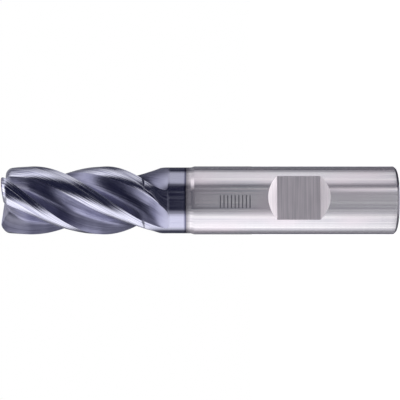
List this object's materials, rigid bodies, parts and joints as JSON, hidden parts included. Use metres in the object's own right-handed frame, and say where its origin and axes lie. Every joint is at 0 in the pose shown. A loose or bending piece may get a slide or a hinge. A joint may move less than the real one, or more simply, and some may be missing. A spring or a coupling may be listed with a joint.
{
  "type": "end mill",
  "caption": "Right-hand solid carbide end mill with corner radii, coated flutes and neck, and a bare ground cylindrical shank with a clamping flat.",
  "frame": {"origin": "centre of the shank's end face, on the tool axis", "axes": "+Z along the tool axis from the shank end to the cutting end, -Y out of the clamping flat"},
  "size_m": [0.016, 0.016, 0.092],
  "materials": {
    "flute_coating": "hard coating, violet grey, satin with fine grinding lines",
    "neck_coating": "hard coating, violet grey, satin",
    "ground_shank": "bare cemented carbide, fine cylindrical grind"
  },
  "bodies": {
    "root": {"fluted_head": "flute_coating", "neck": "neck_coating", "shank": "ground_shank"}
  },
  "joints": []
}
